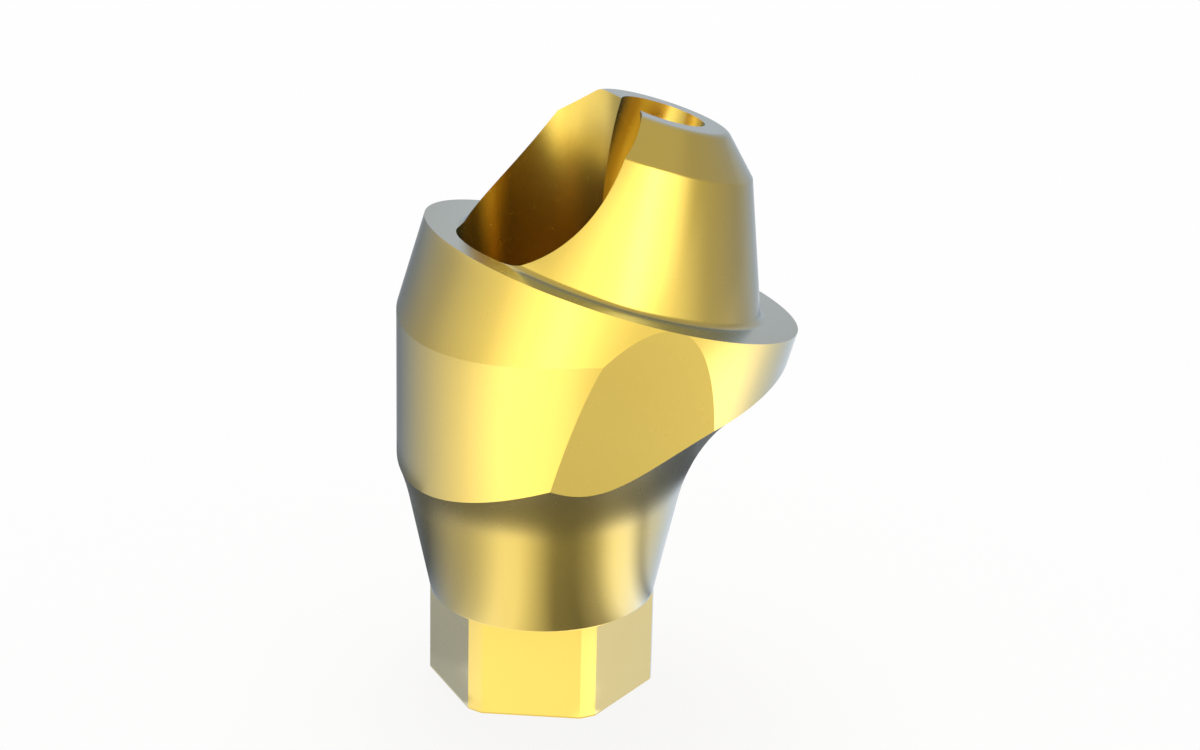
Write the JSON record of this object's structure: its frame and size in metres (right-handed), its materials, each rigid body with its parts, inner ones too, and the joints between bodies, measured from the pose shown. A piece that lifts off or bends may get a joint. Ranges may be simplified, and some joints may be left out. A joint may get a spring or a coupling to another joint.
{
  "type": "dental abutment",
  "caption": "Angled screw-retained abutment of gold-anodised titanium: hexagonal conical implant connection, leaning collar and a tapered post cut open by the screw channel.",
  "frame": {"origin": "centre of the hexagon's end face, on the implant axis", "axes": "+Z along the implant axis towards the mouth, +X the way the platform leans, Y across, mirrored in the XZ plane"},
  "size_m": [0.005, 0.0048, 0.0075],
  "materials": {
    "anodised_titanium": "gold-anodised titanium, fine-turned and glossy"
  },
  "bodies": {
    "root": {"abutment_body": "anodised_titanium"}
  },
  "joints": []
}
